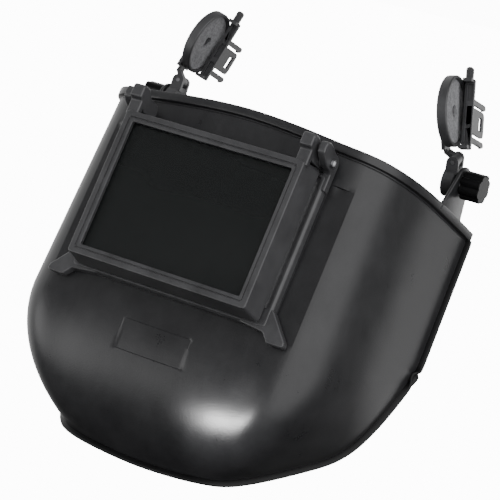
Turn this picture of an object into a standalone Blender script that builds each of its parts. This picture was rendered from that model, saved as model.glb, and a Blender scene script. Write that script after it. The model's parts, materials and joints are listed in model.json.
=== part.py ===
"""Welding face shield for a hard hat: moulded shell, lift-front window and two slot adapters.

Row frame: metres, +Z up, the front faces -Y, +X is the wearer's left. The origin is the midpoint
of the two adapter pivots. Sizes below are millimetres in the window's own frame, which leans back
with the helmet: x across, y back from the lift frame's front face, z up along the window.
"""

import math

import bmesh
import bpy
from mathutils import Matrix, Vector

MM = 0.001
GAP = 0.3

# Helmet attitude and adapter pivots.
LEAN_BACK = math.radians(20.0)
PIVOT_Y = 138.0
PIVOT_Z = 105.0

# Shell: the brim and the rim that its wall joins, from the centre line to the rear flank edge.
BRIM = (
    (0, 33, 88),
    (40, 33.2, 86),
    (76, 35, 82.5),
    (109, 42, 80.5),
    (124, 84, 81.5),
    (129, 136, 82),
    (132, 182, 82),
)
RIM = (
    (0, 82, -170),
    (27, 80, -169),
    (53, 80, -166),
    (74, 89, -158.5),
    (98, 125, -132),
    (120, 153.5, -101.5),
    (136, 178.5, -35),
)
BEND_START = (-80, -80, -81, -78, -65, -49, -22)
# How far the wall stands out where it starts to turn in, from moulding draft.
DRAFT = (0, 0, 0.5, 4.9, 4.6, 2.9, 0.9)
BEND_SWEEP = math.radians(62.0)
SHELL_WALL = 2.4
BAND_HEIGHT = 6.5
BAND_PROUD = 2.8
LIP = 4.5
MERIDIANS = 22
BEND_ROWS = 7

# Ears that carry the adapter bolts.
EAR_IN = 128.0
EAR_OUT = 130.5
EAR_RADIUS = 12.5

# Window base and what it holds.
BASE_FRONT = 25.0
BASE_BACK = 32.6
BASE_HALF_X = 81.0
BASE_TOP = 56.5
BASE_BOTTOM = -60.0
SLEEVE_HALF_X = 61.5
SLEEVE_HALF_Z = 48.5
SLEEVE_BACK = 45.0
SLEEVE_WALL = 2.8
PLATE_SEAT = 31.0
PLATE_HALF_X = 58.3
PLATE_HALF_Z = 45.3
SEAT_HALF_X = 55.5
SEAT_HALF_Z = 42.5
SCREW_PLACES = ((-69.0, -51.5), (69.0, -51.5), (-69.0, 48.0), (69.0, 48.0))
POST_RADIUS = 3.9
SCREW_RADIUS = 1.45
SCREW_HOLE = 1.75
SCREW_HEAD_RADIUS = 3.4
RETAINER_FRONT = 40.2
RETAINER_BACK = 43.0

# Lift frame.
FRAME_HALF_X = 73.0
FRAME_HALF_Z = 55.0
FRAME_DEPTH = 24.5
FRAME_FLARE = 3.0
WINDOW_HALF_X = 65.5
WINDOW_HALF_Z = 45.5
LENS_HALF_X = 69.0
LENS_HALF_Z = 49.0
LENS_SEAT = 4.0
HINGE_Y = 21.0
HINGE_Z = 63.5
ARM_IN = 64.8
ARM_OUT = 74.4
LUG_IN = 76.6
LUG_OUT = 82.6
PIN_RADIUS = 1.9
PIN_HOLE = 2.05

# Adapters, from the pivot outwards: boss, washer, ear, spring washer, knob.
BOSS_IN = 117.2
BOSS_OUT = 125.7
BOSS_RADIUS = 12.0
ARM_X = (BOSS_IN + BOSS_OUT) / 2
BOLT_RADIUS = 2.9
BOLT_HOLE = 3.2
KNOB_IN = 131.7
KNOB_LENGTH = 15.2
KNOB_RADIUS = 11.0
KNOB_LOBES = 8
TILT_HEIGHT = 16.5
TILT_PIN_RADIUS = 1.5
TILT_HOLE = 1.65
CUP_HEIGHT = 36.5
CUP_RADIUS = 26.0
CUP_DEPTH = 8.0
CUP_WALL = 2.4
CUP_FLOOR = 2.2
RIVET_RADIUS = 2.0
RIVET_HOLE = 2.3
YAW = {"left": math.radians(8.0), "right": math.radians(6.0)}
ARM_LEAN = {"left": math.radians(35.0), "right": math.radians(8.0)}
STRAP_TILT = {"left": math.radians(-12.0), "right": math.radians(14.0)}
CUP_TURN = {"left": math.radians(-25.0), "right": 0.0}
# The wearer's left is +X.
SIDES = {"left": 1, "right": -1}

# Slot clip, in the cup's frame: x out of the cup's mouth, y back, z along the bar.
CLIP_IN = 6.2
CLIP_OUT = 11.8
BAR_LOW_Y = 11.6
BAR_HIGH_Y = 14.6
BAR_HALF = 25.5
POCKET_PITCH = 16.4
POCKET_HALF = 6.2
POCKET_DEPTH = 2.1
LEG_LOW_Y = 5.5
LEG_THICK = 2.2
FINGER_END = 35.0
TONGUE_CENTRE = -4.0
TONGUE_HALF = 9.6
TONGUE_END = 41.0
PRONG_CENTRES = (9.5, -18.2)

COLOURS = {
    "shell_plastic": (0.032, 0.032, 0.034),
    "frame_plastic": (0.026, 0.026, 0.028),
    "knob_plastic": (0.012, 0.012, 0.013),
    "shade_glass": (0.012, 0.014, 0.013),
    "clear_plate": (0.75, 0.78, 0.78),
    "gasket_rubber": (0.02, 0.02, 0.02),
    "spring_steel": (0.55, 0.55, 0.56),
    "brass": (0.62, 0.45, 0.18),
    "insert_fibre": (0.22, 0.22, 0.23),
}
ROUGHNESS = {
    "shade_glass": 0.12,
    "clear_plate": 0.05,
    "spring_steel": 0.35,
    "brass": 0.35,
    "knob_plastic": 0.35,
}
PLAIN_ROUGHNESS = 0.5
METALS = ("spring_steel", "brass")


def clear_scene():
    for obj in list(bpy.data.objects):
        bpy.data.objects.remove(obj, do_unlink=True)


def new_collection(name):
    collection = bpy.data.collections.new(name)
    bpy.context.scene.collection.children.link(collection)
    return collection


def make_material(name):
    material = bpy.data.materials.new(name)
    material.use_nodes = True
    shader = material.node_tree.nodes["Principled BSDF"]
    shader.inputs["Base Color"].default_value = (*COLOURS[name], 1.0)
    shader.inputs["Roughness"].default_value = ROUGHNESS.get(name, PLAIN_ROUGHNESS)
    shader.inputs["Metallic"].default_value = 1.0 if name in METALS else 0.0
    return material


clear_scene()
PARTS = new_collection("welding_helmet")
HELPERS = new_collection("cutters")
MATERIALS = {name: make_material(name) for name in COLOURS}


def add_empty(name, parent=None, place=(0, 0, 0), turn=None):
    """An empty whose place is in millimetres in its parent's frame."""
    empty = bpy.data.objects.new(name, None)
    empty.empty_display_size = 10 * MM
    empty.parent = parent
    empty.matrix_local = Matrix.Translation(Vector(place) * MM) @ (turn or Matrix())
    PARTS.objects.link(empty)
    return empty


def finish_mesh(shape):
    bmesh.ops.recalc_face_normals(shape, faces=shape.faces)
    bmesh.ops.scale(shape, vec=(MM, MM, MM), verts=shape.verts)
    mesh = bpy.data.meshes.new("mesh")
    shape.to_mesh(mesh)
    shape.free()
    return mesh


def add_part(name, mesh, material, parent, offset=(0, 0, 0)):
    """A node: its mesh is in the parent empty's frame, moved by offset."""
    mesh.name = name
    part = bpy.data.objects.new(name, mesh)
    part.data.materials.append(MATERIALS[material])
    part.parent = parent
    part.location = Vector(offset) * MM
    PARTS.objects.link(part)
    return part


def apply_helper(part, mesh, operation="DIFFERENCE"):
    """Cuts the part with a mesh in the part's own frame, or joins the mesh to it."""
    helper = bpy.data.objects.new(part.name + "_" + operation.lower(), mesh)
    helper.parent = part
    helper.hide_render = True
    helper.display_type = "WIRE"
    HELPERS.objects.link(helper)
    modifier = part.modifiers.new(operation.title(), "BOOLEAN")
    modifier.operation = operation
    modifier.solver = "EXACT"
    modifier.object = helper


def bevel(part, width, segments=1, angle=40.0):
    modifier = part.modifiers.new("Bevel", "BEVEL")
    modifier.width = width * MM
    modifier.segments = segments
    modifier.limit_method = "ANGLE"
    modifier.angle_limit = math.radians(angle)
    modifier.use_clamp_overlap = True


def smooth(part, angle=35.0):
    part.data.shade_smooth()
    part.data.set_sharp_from_angle(angle=math.radians(angle))


def box(low, high):
    """A box mesh between two corners."""
    shape = bmesh.new()
    bmesh.ops.create_cube(shape, size=1.0)
    size = [b - a for a, b in zip(low, high)]
    centre = [(a + b) / 2 for a, b in zip(low, high)]
    bmesh.ops.scale(shape, vec=size, verts=shape.verts)
    bmesh.ops.translate(shape, vec=centre, verts=shape.verts)
    return finish_mesh(shape)


def rod(radius, start, end, sides=24):
    """A cylinder mesh between two points."""
    start, end = Vector(start), Vector(end)
    shape = bmesh.new()
    along = end - start
    turn = along.to_track_quat("Z", "Y").to_matrix().to_4x4()
    place = Matrix.Translation((start + end) / 2) @ turn
    size = {"radius1": radius, "radius2": radius, "depth": along.length}
    bmesh.ops.create_cone(shape, cap_ends=True, segments=sides, matrix=place, **size)
    return finish_mesh(shape)


AXES_OF_PLANE = {
    "x": Matrix(((0, 0, 1, 0), (1, 0, 0, 0), (0, 1, 0, 0), (0, 0, 0, 1))),
    "y": Matrix(((1, 0, 0, 0), (0, 0, -1, 0), (0, 1, 0, 0), (0, 0, 0, 1))),
}


def plate(outlines, normal, low, high):
    """A flat plate: outlines in the (y, z) or (x, z) plane, from low to high along its normal.

    The first outline is the edge, and any others are holes.
    """
    curve = bpy.data.curves.new("outline", "CURVE")
    curve.dimensions = "2D"
    curve.fill_mode = "BOTH"
    curve.extrude = (high - low) / 2
    for outline in outlines:
        spline = curve.splines.new("POLY")
        spline.points.add(len(outline) - 1)
        for point, (u, v) in zip(spline.points, outline):
            point.co = (u, v, 0, 1)
        spline.use_cyclic_u = True
    holder = bpy.data.objects.new("outline", curve)
    bpy.context.scene.collection.objects.link(holder)
    evaluated = holder.evaluated_get(bpy.context.evaluated_depsgraph_get())
    flat = bpy.data.meshes.new_from_object(evaluated)
    bpy.data.objects.remove(holder)
    shape = bmesh.new()
    shape.from_mesh(flat)
    bmesh.ops.remove_doubles(shape, verts=shape.verts, dist=1e-4)
    middle = (low + high) / 2
    shift = (middle, 0, 0) if normal == "x" else (0, middle, 0)
    bmesh.ops.transform(shape, matrix=Matrix.Translation(shift) @ AXES_OF_PLANE[normal], verts=shape.verts)
    return finish_mesh(shape)


def arc(centre, radius, first, last, steps):
    """Points of an arc, from the first to the last angle in degrees."""
    angles = [math.radians(first + (last - first) * i / steps) for i in range(steps + 1)]
    return [(centre[0] + radius * math.cos(a), centre[1] + radius * math.sin(a)) for a in angles]


def rounded_rectangle(half_u, half_v, radius, steps=4, centre=(0, 0)):
    points = []
    for quarter, (su, sv) in enumerate(((1, 1), (-1, 1), (-1, -1), (1, -1))):
        corner = (centre[0] + su * (half_u - radius), centre[1] + sv * (half_v - radius))
        points += arc(corner, radius, 90 * quarter, 90 * quarter + 90, steps)
    return points


def turned(name, profile, material, parent, place=0.0, side=1, steps=32):
    """A turned piece about the parent's X axis; its profile is (distance outwards, radius) pairs.

    The profile runs from the outer end to the inner one. It closes on the axis, or as a ring.
    """
    on_axis = profile[0][1] == 0 and profile[-1][1] == 0
    mesh = bpy.data.meshes.new(name)
    points = [(radius * MM, 0, along * MM) for along, radius in profile]
    edges = [(i, i + 1) for i in range(len(points) - 1)]
    if not on_axis:
        edges.append((len(points) - 1, 0))
    mesh.from_pydata(points, edges, [])
    part = add_part(name, mesh, material, parent, (place, 0, 0))
    part.rotation_euler = (0, side * math.pi / 2, 0)
    screw = part.modifiers.new("Screw", "SCREW")
    screw.steps = steps
    screw.render_steps = steps
    screw.use_merge_vertices = True
    screw.merge_threshold = 1e-5
    screw.use_smooth_shade = True
    return part


def ring_profile(low, high, inner, outer):
    """A washer's profile, run down its outer side."""
    return [(high, inner), (high, outer), (low, outer), (low, inner)]


def spline_point(stations, along):
    """A point on the smooth curve through the stations, with along from 0 to 1.

    The first station lies on the centre line, so the curve crosses it squarely.
    """
    last = len(stations) - 1
    index = min(int(along * last), last - 1)
    t = along * last - index

    def station(i):
        if i < 0:
            mirrored = Vector(stations[-i])
            mirrored.x = -mirrored.x
            return mirrored
        if i > last:
            return 2 * Vector(stations[last]) - Vector(stations[last - 1])
        return Vector(stations[i])

    p0, p1, p2, p3 = (station(index + k) for k in (-1, 0, 1, 2))
    first = (p2 - p0) / 2
    second = (p3 - p1) / 2
    return (
        (2 * t**3 - 3 * t**2 + 1) * p1
        + (t**3 - 2 * t**2 + t) * first
        + (3 * t**2 - 2 * t**3) * p2
        + (t**3 - t**2) * second
    )


def between(values, along):
    """The value at one place round the shell, from a list of evenly spread ones."""
    return spline_point([(0, 0, value) for value in values], along).z


def outward(along):
    """The level direction out of the shell's wall."""
    step = 0.004
    ahead = spline_point(BRIM, min(along + step, 1.0))
    behind = spline_point(BRIM, max(along - step, 0.0))
    tangent = ahead - behind
    return Vector((tangent.y, -tangent.x, 0)).normalized()


def meridian(along):
    """Points down the shell at one place round it: stepped band, upright wall, turned-in chin."""
    brim = spline_point(BRIM, along)
    rim = spline_point(RIM, along)
    out = outward(along)
    top = Vector((brim.x, brim.y, brim.z - BAND_HEIGHT))
    foot = Vector((brim.x, brim.y, between(BEND_START, along))) + out * between(DRAFT, along)
    points = [brim + out * BAND_PROUD, top + out * BAND_PROUD, top]
    points += [top.lerp(foot, share) for share in (0.33, 0.66, 1.0)]
    for row in range(1, BEND_ROWS + 1):
        angle = BEND_SWEEP * row / BEND_ROWS
        inwards = (1 - math.cos(angle)) / (1 - math.cos(BEND_SWEEP))
        downwards = math.sin(angle) / math.sin(BEND_SWEEP)
        points.append(foot + (rim - foot) * Vector((inwards, inwards, downwards)))
    return points


def shell_half():
    """The +X half of the shell's outer surface, with the lip round its rear and lower edge."""
    shape = bmesh.new()
    grid = [meridian(i / MERIDIANS) for i in range(MERIDIANS + 1)]
    verts = [[shape.verts.new(point) for point in column] for column in grid]
    for i in range(MERIDIANS):
        for j in range(len(verts[0]) - 1):
            shape.faces.new((verts[i][j], verts[i][j + 1], verts[i + 1][j + 1], verts[i + 1][j]))
    shape.normal_update()
    band_rows = 2
    edge = [verts[MERIDIANS][j] for j in range(band_rows, len(verts[0]))]
    edge += [verts[i][-1] for i in range(MERIDIANS - 1, -1, -1)]
    outer = []
    for vert in edge:
        out = vert.normal.copy()
        if vert is edge[0]:
            out = outward(1.0)
        if vert is edge[-1]:
            out.x = 0
        outer.append(shape.verts.new(vert.co + out.normalized() * LIP))
    for a, b, c, d in zip(edge, edge[1:], outer[1:], outer):
        shape.faces.new((a, b, c, d))
    return finish_mesh(shape)


def ear_plate(side):
    """The upstand that carries one adapter bolt, with the foot that joins it to the wall."""
    reach = 24.0
    outline = [(PIVOT_Y + reach, 77), (PIVOT_Y + reach - 4, 86)]
    outline += arc((PIVOT_Y, PIVOT_Z), EAR_RADIUS, 5, 175, 12)
    outline += [(PIVOT_Y - reach + 4, 86), (PIVOT_Y - reach, 77)]
    low, high = sorted((side * EAR_IN, side * EAR_OUT))
    return plate([outline], "x", low, high)


def ear_foot(side):
    low, high = sorted((side * (EAR_IN - 0.7), side * (EAR_OUT - 0.4)))
    return box((low, PIVOT_Y - 14.2, 76.4), (high, PIVOT_Y + 19.3, 80.7))


def build_shell(frame):
    shell = add_part("shell", shell_half(), "shell_plastic", frame)
    mirror = shell.modifiers.new("Mirror", "MIRROR")
    mirror.merge_threshold = 1e-5
    solidify = shell.modifiers.new("Solidify", "SOLIDIFY")
    solidify.thickness = SHELL_WALL * MM
    solidify.offset = -1.0
    solidify.use_even_offset = True
    solidify.thickness_clamp = 1.0
    for side in SIDES.values():
        apply_helper(shell, ear_plate(side), "UNION")
        apply_helper(shell, ear_foot(side), "UNION")
        start = (side * (EAR_IN - 4), PIVOT_Y, PIVOT_Z)
        end = (side * (EAR_OUT + 4), PIVOT_Y, PIVOT_Z)
        apply_helper(shell, rod(BOLT_HOLE, start, end))
    half_x = SLEEVE_HALF_X + GAP
    half_z = SLEEVE_HALF_Z + GAP
    apply_helper(shell, box((-half_x, 20, -half_z), (half_x, 60, half_z)))
    for x, z in SCREW_PLACES:
        apply_helper(shell, rod(POST_RADIUS + 0.5, (x, 20, z), (x, 60, z), 20))
    smooth(shell, 30)
    return shell


def lug_outline():
    """Side view of a hinge lug: it rises from the base's corner and reaches forwards to the pin."""
    outline = [(32.4, 44), (32.4, 62)]
    outline += arc((25.5, 63.5), 7.0, 0, 75, 5)
    outline += [(17, 72.5), (9, 74.5), (4, 73), (2.6, 69), (3.4, 65)]
    outline += [(7, 62.4), (12, 60.4), (16, 58.6), (22, 58.2), (25.2, 56), (25.2, 44)]
    return outline


def wing_outline(side):
    """Front view of the pointed foot at one lower corner of the base."""
    points = [(78, -44), (82, -46), (97.4, -63.6), (98.2, -66.6), (96.6, -68.2)]
    points += [(85, -68.4), (79.5, -62), (60, -60), (60, -50)]
    return [(side * x, z) for x, z in points]


def build_base(frame):
    edge = [(-BASE_HALF_X, BASE_BOTTOM), (BASE_HALF_X, BASE_BOTTOM)]
    edge += [(BASE_HALF_X, BASE_TOP), (-BASE_HALF_X, BASE_TOP)]
    sight = rounded_rectangle(SEAT_HALF_X, SEAT_HALF_Z, 3.0, 2)
    flange = plate([edge, sight], "y", BASE_FRONT, BASE_BACK)
    base = add_part("window_base", flange, "frame_plastic", frame)
    sleeve = rounded_rectangle(SLEEVE_HALF_X, SLEEVE_HALF_Z, 3.0, 2)
    apply_helper(base, plate([sleeve, sight], "y", BASE_BACK - 1, SLEEVE_BACK), "UNION")
    pocket_x = SLEEVE_HALF_X - SLEEVE_WALL
    pocket_z = SLEEVE_HALF_Z - SLEEVE_WALL
    apply_helper(base, box((-pocket_x, PLATE_SEAT, -pocket_z), (pocket_x, SLEEVE_BACK + 1, pocket_z)))
    for side in SIDES.values():
        low, high = sorted((side * LUG_IN, side * LUG_OUT))
        apply_helper(base, plate([lug_outline()], "x", low, high), "UNION")
        apply_helper(base, rod(PIN_HOLE, (side * 70, HINGE_Y, HINGE_Z), (side * 90, HINGE_Y, HINGE_Z)))
        apply_helper(base, plate([wing_outline(side)], "y", BASE_FRONT + 0.4, BASE_BACK + 0.2), "UNION")
    for x, z in SCREW_PLACES:
        post = rod(POST_RADIUS, (x, BASE_BACK - 1, z), (x, RETAINER_FRONT - GAP, z), 20)
        apply_helper(base, post, "UNION")
        apply_helper(base, rod(SCREW_HOLE, (x, BASE_BACK - 2, z), (x, RETAINER_BACK, z), 16))
    return base


def window_frame(name, material, parent, offset, halves, width, low, high):
    """A flat rectangular ring, such as a gasket or a retainer."""
    outer = rounded_rectangle(halves[0], halves[1], 3.0, 2)
    inner = rounded_rectangle(halves[0] - width, halves[1] - width, 2.0, 2)
    return add_part(name, plate([outer, inner], "y", low, high), material, parent, offset)


def wire(name, points, radius, parent, offset=(0, 0, 0)):
    """A bent wire spring through the points."""
    curve = bpy.data.curves.new(name, "CURVE")
    curve.dimensions = "3D"
    curve.bevel_depth = radius * MM
    curve.bevel_resolution = 1
    curve.use_fill_caps = True
    spline = curve.splines.new("POLY")
    spline.points.add(len(points) - 1)
    for point, place in zip(spline.points, points):
        point.co = (*(Vector(place) * MM), 1)
    part = bpy.data.objects.new(name, curve)
    curve.materials.append(MATERIALS["spring_steel"])
    part.parent = parent
    part.location = Vector(offset) * MM
    PARTS.objects.link(part)
    return part


def wire_route(half_x, half_z, y):
    """A flat zigzag that pushes on both ends of a window plate."""
    reach = 7.0
    return [
        (-half_x, y, half_z - 10),
        (-half_x + 6, y, half_z - 3),
        (0, y, half_z - reach),
        (half_x - 6, y, half_z - 3),
        (half_x, y, half_z - 10),
    ]


def build_base_insert(frame):
    clear = plate([rounded_rectangle(PLATE_HALF_X, PLATE_HALF_Z, 1.5, 2)], "y", PLATE_SEAT + GAP, 33.3)
    add_part("inner_clear_plate", clear, "clear_plate", frame)
    halves = (PLATE_HALF_X, PLATE_HALF_Z)
    window_frame("inner_gasket", "gasket_rubber", frame, (0, 0, 0), halves, 4.0, 33.6, 35.1)
    wire("inner_plate_spring", wire_route(PLATE_HALF_X - 0.6, PLATE_HALF_Z, 36.6), 0.8, frame)
    outline = rounded_rectangle(74.5, 57.0, 4.0, 3)
    opening = rounded_rectangle(SLEEVE_HALF_X + GAP, SLEEVE_HALF_Z + GAP, 3.0, 2)
    holes = [rounded_rectangle(2.0, 2.0, 1.99, 4, place) for place in SCREW_PLACES]
    ring = plate([outline, opening, *holes], "y", RETAINER_FRONT, RETAINER_BACK)
    add_part("inner_retaining_frame", ring, "frame_plastic", frame)
    for number, (x, z) in enumerate(SCREW_PLACES, 1):
        head = RETAINER_BACK + GAP
        shank = rod(SCREW_RADIUS, (x, 33, z), (x, head + 0.6, z), 12)
        screw = add_part(f"base_screw_{number}", shank, "spring_steel", frame)
        cap = rod(SCREW_HEAD_RADIUS, (x, head, z), (x, head + 2.2, z), 16)
        apply_helper(screw, cap, "UNION")


def arm_outline():
    """Side view of a lift-frame arm: a block over the front corner, and the barrel behind it."""
    outline = [(1.0, 52), (1.0, 63.8), (-3.0, 65.2), (-3.0, 73.2)]
    outline += [(-1.4, 75), (6.2, 75), (8.6, 73), (12, 70)]
    outline += arc((HINGE_Y, HINGE_Z), 6.0, 100, -90, 10)
    outline += [(9, 57.5), (6.5, 60), (6.5, 52)]
    return outline


def tapered_box(half_x, half_z, depth, flare):
    """The lift frame's block, wider at the back."""
    shape = bmesh.new()
    bmesh.ops.create_cube(shape, size=2.0)
    for vert in shape.verts:
        grow = flare if vert.co.y > 0 else 0.0
        vert.co.x *= half_x + grow
        vert.co.z *= half_z + grow
        vert.co.y = depth if vert.co.y > 0 else 0.0
    return finish_mesh(shape)


def build_lift(hinge):
    offset = (0, -HINGE_Y, -HINGE_Z)
    block = tapered_box(FRAME_HALF_X, FRAME_HALF_Z, FRAME_DEPTH, FRAME_FLARE)
    frame = add_part("lift_frame", block, "frame_plastic", hinge, offset)
    bevel(frame, 1.6, 2)
    for side in SIDES.values():
        low, high = sorted((side * ARM_IN, side * ARM_OUT))
        apply_helper(frame, plate([arm_outline()], "x", low, high), "UNION")
    step = 3.4
    cuts = (
        (WINDOW_HALF_X + step, WINDOW_HALF_Z + step, -1, 1.2),
        (WINDOW_HALF_X, WINDOW_HALF_Z, 0.5, LENS_SEAT + 1),
        (LENS_HALF_X + GAP, LENS_HALF_Z + GAP, LENS_SEAT, FRAME_DEPTH + 1),
        (FRAME_HALF_X - 1.6, FRAME_HALF_Z - 1.6, 15.0, FRAME_DEPTH + 1),
    )
    for half_x, half_z, front, back in cuts:
        apply_helper(frame, box((-half_x, front, -half_z), (half_x, back, half_z)))
    for side in SIDES.values():
        start = (side * (ARM_IN + 1.4), HINGE_Y, HINGE_Z)
        apply_helper(frame, rod(PIN_HOLE, start, (side * 80, HINGE_Y, HINGE_Z)))
    halves = (LENS_HALF_X, LENS_HALF_Z)
    lens = rounded_rectangle(LENS_HALF_X, LENS_HALF_Z, 1.5, 2)
    add_part("cover_plate", plate([lens], "y", LENS_SEAT + GAP, 5.5), "clear_plate", hinge, offset)
    add_part("shade_plate", plate([lens], "y", 5.8, 8.8), "shade_glass", hinge, offset)
    window_frame("lift_gasket", "gasket_rubber", hinge, offset, halves, 4.5, 9.1, 10.6)
    window_frame("lift_retainer", "frame_plastic", hinge, offset, halves, 6.0, 10.9, 13.4)
    route = wire_route(LENS_HALF_X + 0.6, LENS_HALF_Z, 16.0)
    wire("lift_retainer_spring", route, 0.8, hinge, offset)


def build_hinge_hardware(frame):
    for name, side in SIDES.items():
        centre = add_empty(f"hinge_axis_{name}", frame, (0, HINGE_Y, HINGE_Z))
        pin = [(86.0, 0), (85.7, 1.6), (84.6, 3.0), (82.9, 3.2)]
        pin += [(82.9, PIN_RADIUS), (66.9, PIN_RADIUS), (66.6, 0)]
        turned(f"hinge_pin_{name}", pin, "spring_steel", centre, side=side, steps=20)
        washer = ring_profile(ARM_OUT + GAP, LUG_IN - GAP, PIN_HOLE + 0.1, 5.2)
        turned(f"hinge_washer_{name}", washer, "spring_steel", centre, side=side, steps=20)


def knob_outline():
    """End view of a hand knob: round lobes with hollows between them."""
    points = []
    steps = KNOB_LOBES * 6
    for i in range(steps):
        angle = 2 * math.pi * i / steps
        wave = abs(math.cos(KNOB_LOBES * angle / 2)) ** 0.7
        radius = KNOB_RADIUS - 1.6 * (1 - wave)
        points.append((radius * math.cos(angle), radius * math.sin(angle)))
    return points


def build_pivot_hardware(frame, name, side):
    """The bolt with its washers, and the knob that clamps the arm to the ear."""
    axis = add_empty(f"pivot_axis_{name}", frame, (0, PIVOT_Y, PIVOT_Z))
    head = BOSS_IN - GAP
    tip = KNOB_IN + 11.0
    bolt = [(tip, 0), (tip, BOLT_RADIUS), (head, BOLT_RADIUS), (head, 7.0)]
    bolt += [(head - 1.4, 6.4), (head - 2.8, 3.0), (head - 3.0, 0)]
    turned(f"pivot_bolt_{name}", bolt, "spring_steel", axis, side=side, steps=24)
    fibre = ring_profile(BOSS_OUT + GAP, EAR_IN - GAP, BOLT_HOLE, 7.5)
    turned(f"friction_washer_{name}", fibre, "insert_fibre", axis, side=side, steps=24)
    knob_axis = add_empty(f"knob_axis_{name}", frame, (0, PIVOT_Y, PIVOT_Z))
    spring = ring_profile(EAR_OUT + GAP, KNOB_IN - GAP, BOLT_HOLE, 8.0)
    turned(f"spring_washer_{name}", spring, "spring_steel", knob_axis, side=side, steps=24)
    low, high = sorted((side * KNOB_IN, side * (KNOB_IN + KNOB_LENGTH)))
    knob = add_part(f"knob_{name}", plate([knob_outline()], "x", low, high), "knob_plastic", knob_axis)
    bevel(knob, 1.2, 1, 60)
    brass_end = KNOB_IN + 9.0
    apply_helper(knob, rod(5.3, (side * (KNOB_IN - 1), 0, 0), (side * (brass_end + GAP), 0, 0)))
    apply_helper(knob, rod(BOLT_HOLE, (side * KNOB_IN, 0, 0), (side * (tip + 1), 0, 0)))
    insert = ring_profile(KNOB_IN + GAP, brass_end, BOLT_HOLE, 5.0)
    turned(f"knob_insert_{name}", insert, "brass", knob_axis, side=side, steps=24)


def build_lower_arm(pivot, name):
    """The boss on the pivot bolt and the fork above it that holds the tilt pin."""
    high = (BOSS_OUT - BOSS_IN) / 2
    low = -high
    boss = rod(BOSS_RADIUS, (low, 0, 0), (high, 0, 0), 32)
    arm = add_part(f"lower_arm_{name}", boss, "frame_plastic", pivot)
    yaw = Matrix.Rotation(YAW[name], 4, "Z")

    def yawed(mesh):
        mesh.transform(yaw)
        return mesh

    apply_helper(arm, yawed(box((-4.5, -7.9, 8.2), (4.5, 7.9, 11.2))), "UNION")
    for cheek in (-1, 1):
        near, far = sorted((cheek * 4.3, cheek * 7.6))
        outline = [(-4.6, 10.0), (4.6, 10.0)] + arc((0, TILT_HEIGHT), 4.6, 0, 180, 8)
        apply_helper(arm, yawed(plate([outline], "y", near, far)), "UNION")
    apply_helper(arm, yawed(rod(TILT_HOLE, (0, -9, TILT_HEIGHT), (0, 9, TILT_HEIGHT), 16)))
    apply_helper(arm, rod(BOLT_HOLE, (low - 1, 0, 0), (high + 1, 0, 0)))
    shank = yawed(rod(TILT_PIN_RADIUS, (0, -7.4, TILT_HEIGHT), (0, 8.0, TILT_HEIGHT), 16))
    pin = add_part(f"tilt_pin_{name}", shank, "spring_steel", pivot)
    apply_helper(pin, yawed(rod(2.6, (0, 7.9, TILT_HEIGHT), (0, 9.1, TILT_HEIGHT), 16)), "UNION")


def build_strap(tilt, name):
    """The upper arm: a barrel on the tilt pin and a plate behind the cup."""
    half = 3.9
    barrel = rod(4.3, (0, -half, 0), (0, half, 0), 24)
    strap = add_part(f"upper_arm_{name}", barrel, "frame_plastic", tilt)
    web = [(-2.0, 0), (2.0, 0), (2.0, 3.0), (-4.4, 7.4)]
    web += [(-4.4, 16), (-7.2, 16), (-7.2, 6.0), (-3.6, 2.8)]
    apply_helper(strap, plate([web], "y", -half, half), "UNION")
    outline = [(-9.0, 9.6), (9.0, 9.6), (9.0, CUP_HEIGHT)]
    outline += arc((0, CUP_HEIGHT), 9.0, 0, 180, 10)[1:]
    apply_helper(strap, plate([outline], "x", -7.2, -4.4), "UNION")
    apply_helper(strap, rod(RIVET_HOLE, (-9, 0, CUP_HEIGHT), (-3, 0, CUP_HEIGHT), 16))
    apply_helper(strap, rod(TILT_HOLE, (0, -6, 0), (0, 6, 0), 16))


def build_cup(cup, name):
    """The round cup with its friction pad and the rivet that it turns on."""
    back = -CUP_DEPTH / 2
    front = CUP_DEPTH / 2
    inner = CUP_RADIUS - CUP_WALL
    profile = [(front, inner), (front, CUP_RADIUS - 0.5), (front - 0.6, CUP_RADIUS)]
    profile += [(back + 1.2, CUP_RADIUS), (back, CUP_RADIUS - 1.4), (back, RIVET_HOLE)]
    profile += [(back + CUP_FLOOR, RIVET_HOLE), (back + CUP_FLOOR, inner)]
    turned(f"cup_{name}", profile, "frame_plastic", cup, steps=36)
    pad = ring_profile(back + CUP_FLOOR + GAP, 1.6, 4.6, inner - GAP)
    turned(f"cup_pad_{name}", pad, "insert_fibre", cup, steps=32)
    rivet = [(0.2, 0), (0.0, 3.2), (-1.4, 4.2), (-1.5, RIVET_RADIUS)]
    rivet += [(-7.5, RIVET_RADIUS), (-7.5, 4.0), (-8.4, 3.6), (-8.6, 0)]
    turned(f"cup_rivet_{name}", rivet, "spring_steel", cup, steps=20)


def prong_outline(centre):
    """One barbed prong beside the tongue."""
    half = 2.1
    end = TONGUE_END + 2
    return [
        (BAR_HIGH_Y - 1, centre - half),
        (end - 7, centre - half),
        (end - 6, centre - half - 0.9),
        (end - 1, centre - half + 0.6),
        (end, centre),
        (end - 1, centre + half - 0.6),
        (end - 3, centre + half),
        (BAR_HIGH_Y - 1, centre + half),
    ]


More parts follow.
